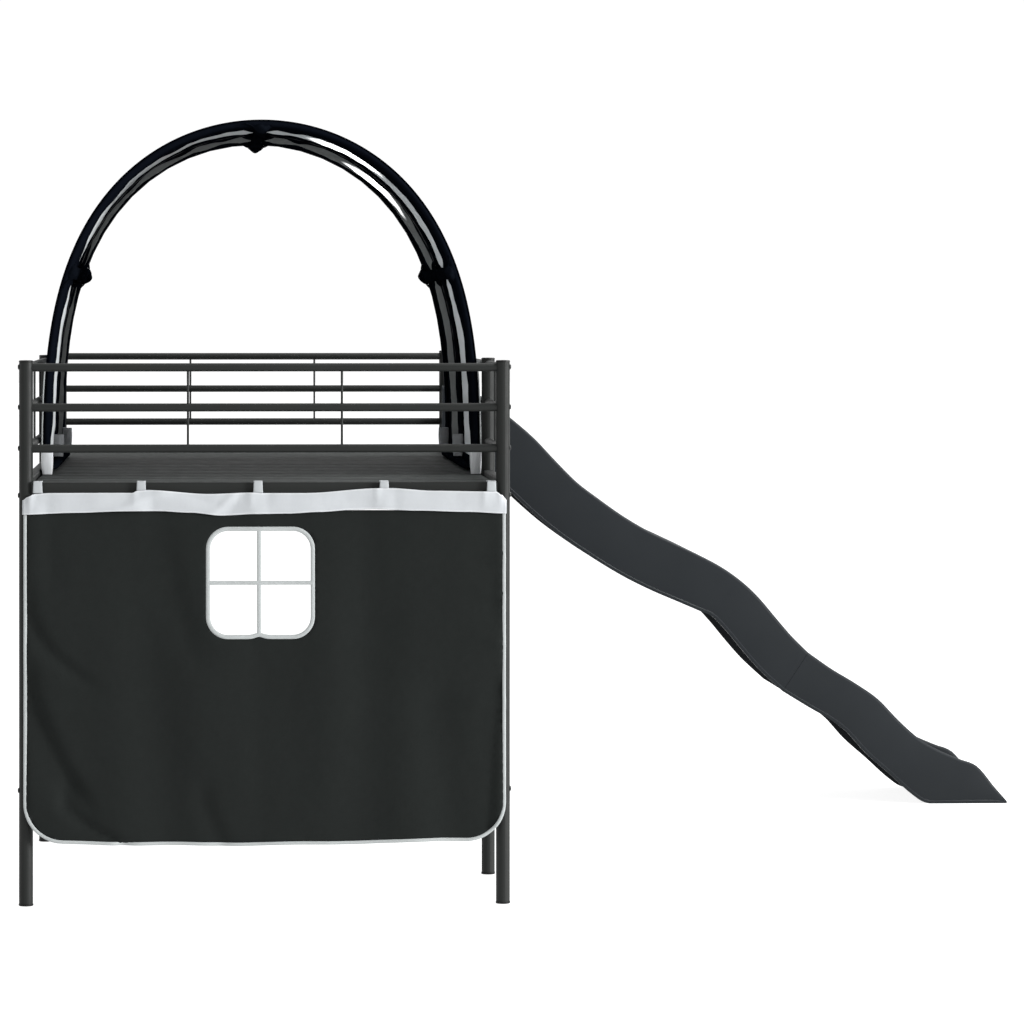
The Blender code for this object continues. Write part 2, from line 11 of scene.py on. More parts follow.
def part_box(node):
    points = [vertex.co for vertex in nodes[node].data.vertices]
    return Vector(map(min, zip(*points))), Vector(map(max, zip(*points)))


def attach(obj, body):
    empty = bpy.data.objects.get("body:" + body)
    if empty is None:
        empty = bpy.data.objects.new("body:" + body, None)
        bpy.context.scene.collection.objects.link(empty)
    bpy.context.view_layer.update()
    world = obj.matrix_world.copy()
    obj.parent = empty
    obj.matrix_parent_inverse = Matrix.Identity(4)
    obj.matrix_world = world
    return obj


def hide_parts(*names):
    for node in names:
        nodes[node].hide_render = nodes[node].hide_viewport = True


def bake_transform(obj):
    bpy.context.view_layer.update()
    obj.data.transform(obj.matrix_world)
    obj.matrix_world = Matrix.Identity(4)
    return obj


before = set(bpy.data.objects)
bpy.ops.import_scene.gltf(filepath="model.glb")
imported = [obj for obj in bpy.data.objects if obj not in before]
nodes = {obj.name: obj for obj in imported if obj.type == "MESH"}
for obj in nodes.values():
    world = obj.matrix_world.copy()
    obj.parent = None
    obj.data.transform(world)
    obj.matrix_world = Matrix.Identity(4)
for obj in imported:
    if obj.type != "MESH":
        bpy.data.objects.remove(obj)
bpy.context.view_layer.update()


# ---- places taken from the frame ----------------------------------------------
def centre_of(node):
    low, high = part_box(node)
    return (low + high) / 2


corner_left = centre_of("post_front_left")
corner_right = centre_of("post_front_right")
BED_X = (corner_left.x + corner_right.x) / 2
BED_Y = (corner_left.y + centre_of("post_back_left").y) / 2
HALF_WIDTH = (corner_right.x - corner_left.x) / 2
HALF_LENGTH = (centre_of("post_back_left").y - corner_left.y) / 2
POST_RADIUS = 0.014
CURTAIN_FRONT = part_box("curtain_panel")[0].y - BED_Y
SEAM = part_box("curtain_panel")[1].z
TUNNEL_LOW, TUNNEL_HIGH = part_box("tunnel_fabric")
TUNNEL_HALF = (TUNNEL_HIGH.x - TUNNEL_LOW.x) / 2
TUNNEL_RISE = TUNNEL_HIGH.z - TUNNEL_LOW.z
TUNNEL_FOOT = TUNNEL_LOW.z
TUNNEL_END = (TUNNEL_HIGH.y - TUNNEL_LOW.y) / 2
TUNNEL_POWER = 0.67


def place(x, y, z):
    """A point given from the middle of the bed, in the row frame."""
    return Vector((BED_X + x, BED_Y + y, z))


# ---- materials ------------------------------------------------------------------
def new_material(name, colour, roughness, specular=0.5):
    made = bpy.data.materials.new(name)
    made.use_nodes = True
    shader = made.node_tree.nodes["Principled BSDF"]
    shader.inputs["Base Color"].default_value = (*colour, 1)
    shader.inputs["Roughness"].default_value = roughness
    shader.inputs["Specular IOR Level"].default_value = specular
    return made, made.node_tree, shader


def add_node(tree, kind, **values):
    node = tree.nodes.new(kind)
    for key, value in values.items():
        if key in node.inputs:
            node.inputs[key].default_value = value
        else:
            setattr(node, key, value)
    return node


def noise_node(tree, scale, detail=2.0, stretch=None):
    coords = tree.nodes.new("ShaderNodeTexCoord")
    source = coords.outputs["Object"]
    if stretch:
        mapping = add_node(tree, "ShaderNodeMapping")
        mapping.inputs["Scale"].default_value = stretch
        tree.links.new(source, mapping.inputs["Vector"])
        source = mapping.outputs["Vector"]
    made = add_node(tree, "ShaderNodeTexNoise", Scale=scale, Detail=detail)
    tree.links.new(source, made.inputs["Vector"])
    return made.outputs["Fac"]


def wave_node(tree, direction, period, source=None):
    coords = tree.nodes.new("ShaderNodeTexCoord")
    made = add_node(tree, "ShaderNodeTexWave", Scale=pi / 10 / period)
    made.wave_type = "BANDS"
    made.bands_direction = direction
    tree.links.new(source or coords.outputs["Object"], made.inputs["Vector"])
    return made.outputs["Fac"]


def math_node(tree, operation, first, second):
    made = tree.nodes.new("ShaderNodeMath")
    made.operation = operation
    for socket, value in zip(made.inputs, (first, second)):
        if isinstance(value, (int, float)):
            socket.default_value = value
        else:
            tree.links.new(value, socket)
    return made.outputs[0]


def range_node(tree, value, low, high, from_low=0.3, from_high=0.7):
    made = tree.nodes.new("ShaderNodeMapRange")
    tree.links.new(value, made.inputs["Value"])
    made.inputs["From Min"].default_value = from_low
    made.inputs["From Max"].default_value = from_high
    made.inputs["To Min"].default_value = low
    made.inputs["To Max"].default_value = high
    return made.outputs["Result"]


def vary_colour(tree, shader, value, dark, light):
    ramp = tree.nodes.new("ShaderNodeValToRGB")
    ramp.color_ramp.elements[0].position = 0.3
    ramp.color_ramp.elements[1].position = 0.7
    ramp.color_ramp.elements[0].color = (*dark, 1)
    ramp.color_ramp.elements[1].color = (*light, 1)
    tree.links.new(value, ramp.inputs["Fac"])
    tree.links.new(ramp.outputs["Color"], shader.inputs["Base Color"])


def add_bump(tree, shader, layers):
    """Stacks bump layers, each a height and how far it stands, in metres."""
    last = None
    for height, distance in layers:
        bump = add_node(tree, "ShaderNodeBump", Distance=distance, Strength=1.0)
        tree.links.new(height, bump.inputs["Height"])
        if last is not None:
            tree.links.new(last, bump.inputs["Normal"])
        last = bump.outputs["Normal"]
    tree.links.new(last, shader.inputs["Normal"])


def shade(colour, factor):
    return tuple(min(1.0, part * factor) for part in colour)


def coated_steel(name, colour, roughness, specular):
    made, tree, shader = new_material(name, colour, roughness, specular)
    broad = noise_node(tree, 5.0, 3.0)
    vary_colour(tree, shader, broad, shade(colour, 0.9), shade(colour, 1.1))
    rough = range_node(tree, noise_node(tree, 40.0, 3.0), roughness - 0.05, roughness + 0.07)
    tree.links.new(rough, shader.inputs["Roughness"])
    peel = noise_node(tree, 700.0, 2.0)
    dust = noise_node(tree, 160.0, 2.0)
    add_bump(tree, shader, [(dust, 0.00012), (peel, 0.00008)])
    return made


def moulded_plastic(name, colour, roughness, specular, grain=650.0, depth=0.00012):
    made, tree, shader = new_material(name, colour, roughness, specular)
    vary_colour(tree, shader, noise_node(tree, 4.0, 3.0), shade(colour, 0.92), shade(colour, 1.08))
    rough = range_node(tree, noise_node(tree, 18.0, 4.0), roughness - 0.06, roughness + 0.06)
    tree.links.new(rough, shader.inputs["Roughness"])
    add_bump(tree, shader, [(noise_node(tree, grain, 2.0), depth)])
    return made


def woven_cloth(name, colour, roughness, directions=("X", "Z"), sheen=0.04, period=0.0011,
                sheer=0.0, specular=0.1, painted_light_patch=None):
    made, tree, shader = new_material(name, colour, roughness, specular)
    shader.inputs["Sheen Weight"].default_value = sheen
    shader.inputs["Sheen Roughness"].default_value = 0.5
    broad = noise_node(tree, 7.0, 4.0)
    vary_colour(tree, shader, broad, shade(colour, 0.97), shade(colour, 1.03))
    rough = range_node(tree, noise_node(tree, 60.0, 3.0), roughness - 0.06, min(1.0, roughness + 0.06))
    tree.links.new(rough, shader.inputs["Roughness"])
    warp = wave_node(tree, directions[0], period)
    weft = wave_node(tree, directions[1], period)
    threads = math_node(tree, "MULTIPLY", warp, weft)
    creases = noise_node(tree, 22.0, 4.0)
    slubs = noise_node(tree, 900.0, 1.0)
    add_bump(tree, shader, [(creases, 0.0022), (threads, 0.00022), (slubs, 0.00008)])
    if sheer:
        output = next(n for n in tree.nodes if n.type == "OUTPUT_MATERIAL")
        through = tree.nodes.new("ShaderNodeBsdfTranslucent")
        through.inputs["Color"].default_value = (*colour, 1)
        blend = tree.nodes.new("ShaderNodeMixShader")
        blend.inputs["Fac"].default_value = sheer
        tree.links.new(shader.outputs[0], blend.inputs[1])
        tree.links.new(through.outputs[0], blend.inputs[2])
        tree.links.new(blend.outputs[0], output.inputs["Surface"])
        # where an oval of painted light is given, blend it over the cloth
        if painted_light_patch:
            paint_light_patch(tree, output, blend, painted_light_patch)
    return made


def paint_light_patch(tree, output, surface, painted_light_patch):
    """Paint light onto an oval patch of the cloth as a bright see-through shader, given by its centre and
    half sizes in (x, y).
    """
    centre_x, centre_y, half_x, half_y = painted_light_patch
    place_node = tree.nodes.new("ShaderNodeTexCoord")
    split = tree.nodes.new("ShaderNodeSeparateXYZ")
    tree.links.new(place_node.outputs["Object"], split.inputs[0])
    squares = []
    for axis, centre, half in (("X", BED_X + centre_x, half_x), ("Y", BED_Y + centre_y, half_y)):
        offset = math_node(tree, "SUBTRACT", split.outputs[axis], centre)
        share = math_node(tree, "DIVIDE", offset, half)
        squares.append(math_node(tree, "MULTIPLY", share, share))
    reach = math_node(tree, "ADD", *squares)
    # painted light: this oval mask blends in a bright see-through shader that stands in for a lit patch
    painted_light_mask = range_node(tree, reach, 1.0, 0.0, 0.55, 1.15)
    painted_light_shader = tree.nodes.new("ShaderNodeBsdfTranslucent")
    painted_light_shader.inputs["Color"].default_value = (0.93, 0.93, 0.93, 1)
    blend = tree.nodes.new("ShaderNodeMixShader")
    tree.links.new(painted_light_mask, blend.inputs["Fac"])
    tree.links.new(surface.outputs[0], blend.inputs[1])
    tree.links.new(painted_light_shader.outputs[0], blend.inputs[2])
    tree.links.new(blend.outputs[0], output.inputs["Surface"])


# Ovals of painted light on the light bands, given to the cloth materials: a bright see-through shader
# stands in for patches lit by the lamps.
# They are guessed, and show as grey spots from the side.
NEAR_BAND_PAINTED_LIGHT = (0.186, -0.245, 0.082, 0.100)
FAR_BAND_PAINTED_LIGHT = (0.268, 0.215, 0.072, 0.105)

STEEL = coated_steel("coated_steel", (0.0104, 0.0114, 0.0108), 0.50, 0.15)
# Painted light: the deck is a lighter copy of the frame steel, standing in for the light that falls on it
# from above.
DECK_STEEL_PAINTED_LIGHT = coated_steel("coated_slats_painted_light", (0.0190, 0.0215, 0.0208), 0.65, 0.10)
PLUG = moulded_plastic("plug_plastic", (0.005, 0.005, 0.005), 0.5, 0.15)
SLIDE = moulded_plastic("slide_plastic", (0.0082, 0.0100, 0.0117), 0.5, 0.12)
CURTAIN_BLACK = woven_cloth("curtain_black", (0.0098, 0.0113, 0.0108), 0.9, specular=0.04)
CURTAIN_WHITE = woven_cloth("curtain_white", (0.365, 0.380, 0.395), 0.9, specular=0.1)
# Painted highlight: a lighter copy of the white cloth for the rounded hems of the top band, standing in
# for the light they catch.
HEM_PAINTED_HIGHLIGHT = woven_cloth("hem_painted_highlight", (0.44, 0.455, 0.47), 0.9, specular=0.1)
TAB_WHITE = woven_cloth("tab_white", (0.31, 0.325, 0.335), 0.9, specular=0.08)
# Painted light: a lighter copy of the white cloth for the front tunnel tabs, standing in for the light on
# them. The tabs further in use the plain white cloth.
CUFF_WHITE_PAINTED_LIGHT = woven_cloth("cuff_white_painted_light", (0.54, 0.555, 0.57), 0.9, specular=0.08)
PIPING = woven_cloth("piping", (0.315, 0.332, 0.332), 0.85, period=0.0008, specular=0.1)
TUNNEL_BLACK = woven_cloth("tunnel_black", (0.0026, 0.0034, 0.0056), 0.75, ("Y", "Z"), 0.0, specular=0.0)
# The near white band carries an oval of painted light.
TUNNEL_WHITE = woven_cloth(
    "tunnel_white", (0.58, 0.60, 0.61), 0.8, ("Y", "Z"), 0.0,
    sheer=0.32, specular=0.05, painted_light_patch=NEAR_BAND_PAINTED_LIGHT)
# Painted shade: a darker copy of the white tunnel cloth for the far light band, standing in for the shade
# deeper in the tunnel. It also carries an oval of painted light.
TUNNEL_WHITE_PAINTED_SHADE = woven_cloth(
    "tunnel_white_painted_shade", (0.19, 0.20, 0.20), 0.8, ("Y", "Z"), 0.0,
    sheer=0.4, specular=0.05, painted_light_patch=FAR_BAND_PAINTED_LIGHT)
STRAP = woven_cloth("strap_black", (0.0026, 0.0034, 0.0052), 0.75, ("Y", "X"), 0.0, specular=0.0)
ROD = moulded_plastic("rod_black", (0.006, 0.006, 0.008), 0.35, 0.15)
SCREW = coated_steel("screw_steel", (0.008, 0.009, 0.009), 0.42, 0.2)


# ---- mesh helpers -----------------------------------------------------------------
def make_piece(name, mesh, materials, body="bed", smooth=35):
    for material in materials:
        mesh.materials.append(material)
    if smooth:
        mesh.shade_smooth()
        mesh.set_sharp_from_angle(angle=radians(smooth))
    piece = bpy.data.objects.new(name, mesh)
    bpy.context.scene.collection.objects.link(piece)
    if body:
        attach(piece, body)
    return piece


def mesh_of(name, points, faces, materials=None):
    mesh = bpy.data.meshes.new(name)
    mesh.from_pydata([tuple(point) for point in points], [], faces)
    if materials is not None:
        mesh.polygons.foreach_set("material_index", materials)
    mesh.validate()
    mesh.update()
    return mesh


def recalculated(mesh):
    bm = bmesh.new()
    bm.from_mesh(mesh)
    bmesh.ops.recalc_face_normals(bm, faces=bm.faces[:])
    bm.to_mesh(mesh)
    bm.free()
    return mesh


def grid_mesh(name, rows, band_of=None, closed=False):
    """A skin through rows of points. band_of gives a face's material number."""
    count = len(rows[0])
    points = [point for row in rows for point in row]
    faces, bands = [], []
    spans = count if closed else count - 1
    for i in range(len(rows) - 1):
        for j in range(spans):
            k = (j + 1) % count
            faces.append((i * count + j, i * count + k, (i + 1) * count + k, (i + 1) * count + j))
            bands.append(band_of(i, j) if band_of else 0)
    return mesh_of(name, points, faces, bands)


def swept_mesh(name, path, outline, frames, capped=True):
    """Sweeps an outline of (across, up) points along a path with given directions."""
    rows = []
    for point, (across, up) in zip(path, frames):
        rows.append([point + across * u + up * v for u, v in outline])
    mesh = grid_mesh(name, rows, closed=True)
    if capped:
        bm = bmesh.new()
        bm.from_mesh(mesh)
        bmesh.ops.holes_fill(bm, edges=[e for e in bm.edges if e.is_boundary])
        bm.to_mesh(mesh)
        bm.free()
    return recalculated(mesh)


def round_outline(wide, high, sides):
    steps = [2 * pi * i / sides for i in range(sides)]
    return [(wide * cos(step), high * sin(step)) for step in steps]


def frames_along(path, reference, closed=False):
    """Two directions square to the path, with the first one near the reference."""
    frames = []
    count = len(path)
    for i in range(count):
        before = path[i - 1] if (i or closed) else path[0]
        after = path[(i + 1) % count] if (i + 1 < count or closed) else path[-1]
        along = (after - before).normalized()
        up = along.cross(reference).normalized()
        frames.append((up.cross(along).normalized(), up))
    return frames


def smooth_path(points, steps):
    """A Catmull-Rom curve through the points."""
    made = []
    count = len(points)
    for i in range(count - 1):
        p0 = points[max(i - 1, 0)]
        p1, p2 = points[i], points[i + 1]
        p3 = points[min(i + 2, count - 1)]
        for j in range(steps):
            t = j / steps
            a = 2 * p1 + (p2 - p0) * t
            b = (2 * p0 - 5 * p1 + 4 * p2 - p3) * t * t
            c = (3 * p1 - p0 - 3 * p2 + p3) * t * t * t
            made.append((a + b + c) / 2)
    made.append(points[-1])
    return made


def joined_mesh(name, meshes):
    bm = bmesh.new()
    for mesh in meshes:
        bm.from_mesh(mesh)
        bpy.data.meshes.remove(mesh)
    made = bpy.data.meshes.new(name)
    bm.to_mesh(made)
    bm.free()
    return made


def dome_mesh(name, centre, axis, radius, height, sides=20):
    """A low dome head with a flange and a round socket, facing along axis."""
    axis = Vector(axis).normalized()
    side = Vector((0, 0, 1))
    other = axis.cross(side)
    profile = (
        (0.0, 0.30), (0.42, 0.30), (0.44, 0.86), (0.50, 0.94),
        (0.72, 0.80), (0.90, 0.52), (1.0, 0.20), (1.0, 0.0),
    )
    points, faces = [], []
    for share, lift in profile:
        for i in range(sides):
            angle = 2 * pi * i / sides
            reach = radius * share
            level = centre + axis * (lift * height)
            points.append(level + side * (reach * cos(angle)) + other * (reach * sin(angle)))
    for row in range(len(profile) - 1):
        for i in range(sides):
            j = (i + 1) % sides
            faces.append((row * sides + i, row * sides + j, (row + 1) * sides + j, (row + 1) * sides + i))
    mesh = mesh_of(name, points, faces)
    bm = bmesh.new()
    bm.from_mesh(mesh)
    bmesh.ops.remove_doubles(bm, verts=bm.verts[:], dist=1e-6)
    bmesh.ops.recalc_face_normals(bm, faces=bm.faces[:])
    bm.to_mesh(mesh)
    bm.free()
    return mesh


# ---- the metal frame and its screws --------------------------------------------------
def dress_frame():
    for name, node in nodes.items():
        if name.startswith(("cap_", "foot_")):
            material = PLUG
        elif name.startswith("slat_panel") or name == "beam_centre":
            # the slats and centre beam get the lighter steel with painted light
            material = DECK_STEEL_PAINTED_LIGHT
        elif name.startswith("tunnel_hoop"):
            material = ROD
        else:
            material = STEEL
        for slot in node.material_slots:
            slot.material = material
        if not node.material_slots:
            node.data.materials.append(material)


def add_screws():
    heights = (1.0752, 0.9950, 0.9130, 0.8190, 0.2300)
    for side, sign in (("left", -1), ("right", 1)):
        for end, y in (("front", -HALF_LENGTH), ("back", HALF_LENGTH)):
            heads = []
            for height in heights:
                centre = place(sign * (HALF_WIDTH + POST_RADIUS - 0.0008), y, height)
                heads.append(dome_mesh("head", centre, (sign, 0, 0), 0.0056, 0.0034))
            mesh = joined_mesh("screws", heads)
            make_piece(f"screws_{end}_{side}", mesh, [SCREW])


# ---- tunnel -----------------------------------------------------------------------------
def arch_table(steps=2400):
    """Fine points of the arch with their distance from the right foot."""
    angles = np.linspace(0, pi, steps + 1)
    x = TUNNEL_HALF * np.cos(angles)
    z = TUNNEL_FOOT + TUNNEL_RISE * np.clip(np.sin(angles), 0, None) ** TUNNEL_POWER
    step = np.hypot(np.diff(x), np.diff(z))
    return x, z, np.concatenate([[0.0], np.cumsum(step)])


ARCH_X, ARCH_Z, ARCH_S = arch_table()
ARCH_LENGTH = float(ARCH_S[-1])


def arch_at(distance, inset=0.0):
    """Point on the arch in (x, z), moved inwards, with its inward direction."""
    x = float(np.interp(distance, ARCH_S, ARCH_X))
    z = float(np.interp(distance, ARCH_S, ARCH_Z))
    step = 0.004
    low, high = max(distance - step, 0), min(distance + step, ARCH_LENGTH)
    dx = float(np.interp(high, ARCH_S, ARCH_X) - np.interp(low, ARCH_S, ARCH_X))
    dz = float(np.interp(high, ARCH_S, ARCH_Z) - np.interp(low, ARCH_S, ARCH_Z))
    length = hypot(dx, dz)
    inward = Vector((-dz / length, 0, dx / length))
    return Vector((x, 0, z)) + inward * inset, inward


def arch_distance(angle):
    order = np.argsort(ARCH_X)
    return float(np.interp(TUNNEL_HALF * cos(angle), ARCH_X[order], ARCH_S[order]))


STRAP_PLACES = tuple(arch_distance(radians(a)) for a in (26.0, 90.0, 154.0))
# Band numbers: 0 black cloth, 1 white cloth, 2 white cloth with painted shade.
BANDS = ((-TUNNEL_END, 0), (-0.336, 1), (-0.112, 0), (0.112, 2), (0.336, 0), (TUNNEL_END, 0))
FOOT_HEM = 0.034
LENS_ENDS = ((-0.178, 1.0), (-0.085, 0.6), (0.085, 0.7), (0.275, 0.5), (-0.300, 0.4))
HOOP_Y = (-0.5535, 0.0, 0.5535)


def bump_at(value, centre, width):
    share = (value - centre) / width
    return 2.718281828 ** (-share * share)


def ripple(distance, y):
    """How far the slack cloth stands inwards between its hoops, in metres."""
    gap = min(abs(y - hoop) for hoop in HOOP_Y)
    slack = min(1.0, gap / 0.17)
    slack = slack * slack * (3 - 2 * slack)
    wave = noise.noise(Vector((distance * 17.0, y * 7.0, 1.7)))
    fine = noise.noise(Vector((distance * 46.0, y * 15.0, 6.1)))
    side = 0.0068 + 0.0042 * min(1.0, distance / (0.42 * ARCH_LENGTH))
    feet = 0.35 + 0.65 * min(1.0, distance / 0.10, (ARCH_LENGTH - distance) / 0.10)
    return feet * slack * (side + 0.0026 * wave + 0.0012 * fine)


def pinch(distance):
    """How much the ties gather the light bands, from 0 to 1."""
    value = 0.0
    for strap, reach in zip(STRAP_PLACES, (0.030, 0.034, 0.078)):
        value = max(value, 1.35 - 1.35 * abs(distance - strap) / reach)
    return min(1.0, max(0.0, value)) ** 0.6


def pinch_side(y):
    """Which way an edge of a light band moves where a tie gathers it."""
    return {-0.336: 1, -0.112: -1, 0.112: 1, 0.336: -1}[y]


def add_tunnel_cloth():
    columns = 260
    stops, bands = [], []
    for (y0, band), (y1, _) in zip(BANDS, BANDS[1:]):
        steps = max(4, round((y1 - y0) / 0.016))
        for i in range(steps):
            stops.append((y0, y1, i / steps))
            bands.append(band)
    stops.append((BANDS[-1][0], BANDS[-1][0], 0.0))

    def edge(y, distance, seed):
        if abs(y) >= TUNNEL_END - 1e-6:
            return y
        sway = noise.noise(Vector((distance * 13.0, seed * 3.7, 0.4)))
        fine = noise.noise(Vector((distance * 38.0, seed * 5.1, 2.4)))
        place_x = arch_at(distance)[0].x
        lens = sum(share * bump_at(place_x, at + 0.05 * y, 0.022) for at, share in LENS_ENDS)
        squeeze = 0.112 * pinch(distance) + 0.058 * min(1.0, lens)
        return y + 0.016 * sway + 0.007 * fine + pinch_side(y) * squeeze

    rows = []
    for y0, y1, share in stops:
        row = []
        for j in range(columns + 1):
            distance = ARCH_LENGTH * j / columns
            low = edge(y0, distance, round(y0 * 100))
            high = edge(y1, distance, round(y1 * 100))
            y = low + (high - low) * share
            point, _ = arch_at(distance, 0.0006 + ripple(distance, y))
            row.append(place(point.x, y, point.z))
        rows.append(row)
    def cloth_at(i, j):
        distance = ARCH_LENGTH * (j + 0.5) / columns
        foot = min(distance, ARCH_LENGTH - distance) < FOOT_HEM
        return 0 if foot or pinch(distance) > 0.93 else bands[i]

    mesh = grid_mesh("tunnel_cloth", rows, band_of=cloth_at)
    cloths = [TUNNEL_BLACK, TUNNEL_WHITE, TUNNEL_WHITE_PAINTED_SHADE]
    piece = make_piece("tunnel_cloth", mesh, cloths, smooth=60)
    thick = piece.modifiers.new("thickness", "SOLIDIFY")
    thick.thickness = 0.0012
    thick.offset = 1.0
    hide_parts("tunnel_fabric")
    return piece


def arch_path(y, inset, steps=150, start=0.0, end=None):
    end = ARCH_LENGTH if end is None else end
    path = []
    for i in range(steps + 1):
        distance = start + (end - start) * i / steps
        point, _ = arch_at(distance, inset)
        path.append(place(point.x, y, point.z))
    return path


def add_hems():
    """Sleeves that hold the hoops, gathered a little along their length."""
    pieces = []
    for name, y, wide in (("front", -0.5470, 0.0130), ("middle", 0.0, 0.0115), ("back", 0.5470, 0.0130)):
        deep = 0.0076 if name == "front" else 0.0053
        path = arch_path(y, deep + 0.0008, 300)
        frames = frames_along(path, Vector((0, 1, 0)))
        rows = []
        for i, (point, (across, up)) in enumerate(zip(path, frames)):
            distance = ARCH_LENGTH * i / 300
            gather = 1 + 0.09 * noise.noise(Vector((distance * 60, y * 3, 0.2)))
            gather += 0.05 * noise.noise(Vector((distance * 150, y * 3, 4.2)))
            outline = round_outline(wide * gather, deep * (1 + (gather - 1) * 0.7), 18)
            rows.append([point + across * u + up * v for u, v in outline])
        mesh = recalculated(grid_mesh("hem", rows, closed=True))
        pieces.append(make_piece(f"tunnel_hem_{name}", mesh, [TUNNEL_BLACK]))
    return pieces


def add_tunnel_piping():
    """Light edging on the lower ends of the cloth's two open edges."""
    pieces = []
    for name, y in (("front", -TUNNEL_END - 0.0005), ("back", TUNNEL_END + 0.0005)):
        meshes = []
        for start, end in ((0.055, 0.235), (ARCH_LENGTH - 0.235, ARCH_LENGTH - 0.055)):
            path = []
            for i in range(41):
                distance = start + (end - start) * i / 40
                sway = 0.0005 * noise.noise(Vector((distance * 30, y, 0)))
                point, _ = arch_at(distance, -0.0004 + sway)
                path.append(place(point.x, y + sway, point.z))
            frames = frames_along(path, Vector((0, 1, 0)))
            meshes.append(swept_mesh("piping", path, round_outline(0.0014, 0.0014, 10), frames))
        piece = joined_mesh("piping", meshes)
        pieces.append(make_piece(f"tunnel_piping_{name}", piece, [PIPING]))
    return pieces


def add_tunnel_tabs():
    """White tabs that close the sleeves round the feet of the hoops."""
    pieces = []
    spots = (
        ("front", -TUNNEL_END - 0.0035, 0.0105, 0.0),
        ("middle", -0.0160, 0.0150, 0.019),
        ("back", 0.5300, 0.0160, 0.019),
    )
    for end, y, inset, start in spots:
        for side, sign in (("left", -1), ("right", 1)):
            columns, rows_count = 14, 28
            rows = []
            for i in range(rows_count + 1):
                v = i / rows_count
                lift = start + (0.0590 - 0.5 * start) * v
                full = 0.66 + 0.34 * sin(pi * min(1.0, 0.10 + v * 0.62)) ** 0.7
                row = []
                for j in range(columns + 1):
                    u = 2 * j / columns - 1
                    distance = 0.001 + lift if sign > 0 else ARCH_LENGTH - 0.001 - lift
                    centre, _ = arch_at(distance, inset)
                    x = centre.x + u * 0.0118 * full
                    bulge = 0.0045 * max(0.0, 1 - u * u) ** 0.5 * (0.4 + 0.6 * sin(pi * v))
                    bulge += 0.0006 * noise.noise(Vector((u * 3, v * 5, sign + y)))
                    row.append(place(x, y - bulge, TUNNEL_FOOT + 0.0002 + lift))
                rows.append(row)
            mesh = grid_mesh("tab", rows)
            name = f"tunnel_tab_{end}_{side}"
            # painted light: the front tabs get the lighter copy of the white cloth
            cloth = CUFF_WHITE_PAINTED_LIGHT if end == "front" else CURTAIN_WHITE
            piece = make_piece(name, mesh, [cloth], smooth=60)
            thick = piece.modifiers.new("thickness", "SOLIDIFY")
            thick.thickness = 0.0022
            thick.offset = 0.0
            pieces.append(piece)
    return pieces


def add_foot_rolls():
    """Rolled black hems that lie on the deck along both feet of the tunnel."""
    pieces = []
    for side, sign in (("left", -1), ("right", 1)):
        rows = []
        for i in range(61):
            y = -0.40 + 0.95 * i / 60
            ends = min(1.0, (i + 0.6) / 5, (60.6 - i) / 5) ** 0.5
            wave = noise.noise(Vector((y * 9.0, sign * 3.0, 4.2)))
            row = []
            for k in range(18):
                turn = 2 * pi * k / 18
                crease = 1 + 0.12 * noise.noise(Vector((cos(turn) * 1.5, sin(turn) * 1.5, y * 16)))
                wide = (0.0105 + 0.0015 * wave) * crease * ends
                high = (0.0085 + 0.0010 * wave) * crease * ends
                x = sign * (TUNNEL_HALF - 0.0150) + wide * cos(turn)
                row.append(place(x, y, TUNNEL_FOOT + 0.0100 + high * sin(turn)))
            rows.append(row)
        mesh = capped(grid_mesh("roll", rows, closed=True))
        pieces.append(make_piece(f"tunnel_foot_{side}", mesh, [STRAP], smooth=60))
    return pieces


def capped(mesh):
    """Close the open ends of a tube-like mesh."""
    bm = bmesh.new()
    bm.from_mesh(mesh)
    bmesh.ops.holes_fill(bm, edges=[edge for edge in bm.edges if edge.is_boundary])
    bm.to_mesh(mesh)
    bm.free()
    return recalculated(mesh)


def add_straps():
    """Flat tie straps under the hoops, with a knot at each hoop."""
    for name, distance in zip(("right", "top", "left"), STRAP_PLACES):
        rows = []
        steps, columns = 110, 10
        for i in range(steps + 1):
            y = -0.556 + 1.112 * i / steps
            gap = min(abs(y - hoop) for hoop in HOOP_Y)
            sag = 0.0030 * min(1.0, gap / 0.2)
            narrow = 1.0 + 0.35 * max(0.0, 1 - gap / 0.05)
            row = []
            for j in range(columns + 1):
                u = 2 * j / columns - 1
                side = distance + u * 0.0140 * narrow
                curl = 0.0012 * u * u + 0.0006 * noise.noise(Vector((y * 30, u * 2, distance)))
                lift = 0.0030 * max(0.0, 1 - gap / 0.03)
                point, _ = arch_at(side, 0.0156 + sag - curl + lift)
                row.append(place(point.x, y, point.z))
            rows.append(row)
        mesh = grid_mesh("strap", rows)
        piece = make_piece(f"tunnel_tie_{name}", mesh, [STRAP], smooth=60)
        thick = piece.modifiers.new("thickness", "SOLIDIFY")
        thick.thickness = 0.0022
        thick.offset = 0.0
        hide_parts(f"tunnel_strap_{name}")
        for place_name, y in zip(("front", "middle", "back"), (-0.5495, 0.0, 0.5495)):
            add_knot(f"tunnel_knot_{name}_{place_name}", distance, y)


